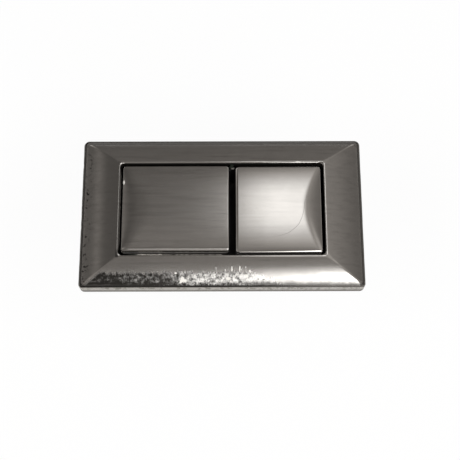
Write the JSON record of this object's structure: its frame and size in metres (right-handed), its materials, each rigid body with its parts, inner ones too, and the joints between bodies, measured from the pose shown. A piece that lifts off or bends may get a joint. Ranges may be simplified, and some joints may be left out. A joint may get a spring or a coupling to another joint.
{
  "type": "flush button plate",
  "caption": "Rectangular satin chrome flush button plate for a cistern lid, with a mitred convex bezel, a wide and a narrow sprung button, push rods and lid clamps.",
  "frame": {"origin": "centre of the seat on the cistern lid, on the underside of the foam seal", "axes": "+X along the plate's length from the wide button to the narrow one, +Y towards the back edge, +Z out of the lid"},
  "size_m": [0.084, 0.0472, 0.0585],
  "materials": {
    "plated": "satin chrome plating on moulded ABS, worn and water-marked",
    "seal": "closed-cell foam rubber",
    "tray": "black moulded plastic, fine grain",
    "white_moulding": "white moulded acetal, slightly yellowed",
    "grey_moulding": "grey moulded nylon",
    "zinc_steel": "zinc-plated steel",
    "spring_steel": "stainless spring wire",
    "soft_foot": "soft black rubber"
  },
  "bodies": {
    "plate": {"bezel_frame": "plated", "lid_gasket": "seal", "guide_tray": "tray", "fixing_stud_left": "zinc_steel", "fixing_stud_right": "zinc_steel", "clamp_claw_left": "grey_moulding", "clamp_claw_right": "grey_moulding", "wing_nut_left": "white_moulding", "wing_nut_right": "white_moulding", "full_flush_spring": "spring_steel", "half_flush_spring": "spring_steel"},
    "full_button": {"full_flush_button": "plated", "full_flush_plunger": "white_moulding", "full_flush_rod": "white_moulding", "full_flush_lock_nut": "grey_moulding", "full_flush_foot": "soft_foot"},
    "half_button": {"half_flush_button": "plated", "half_flush_plunger": "white_moulding", "half_flush_rod": "white_moulding", "half_flush_lock_nut": "grey_moulding", "half_flush_foot": "soft_foot"}
  },
  "joints": [
    {"name": "full_flush_press", "type": "slide", "parent": "plate", "child": "full_button", "axis": [0, 0, -1], "range_m": [0, 0.005], "stiffness_N_per_m": 450, "springref_m": -0.004, "deforming": ["full_flush_spring"]},
    {"name": "half_flush_press", "type": "slide", "parent": "plate", "child": "half_button", "axis": [0, 0, -1], "range_m": [0, 0.005], "stiffness_N_per_m": 450, "springref_m": -0.004, "deforming": ["half_flush_spring"]}
  ]
}
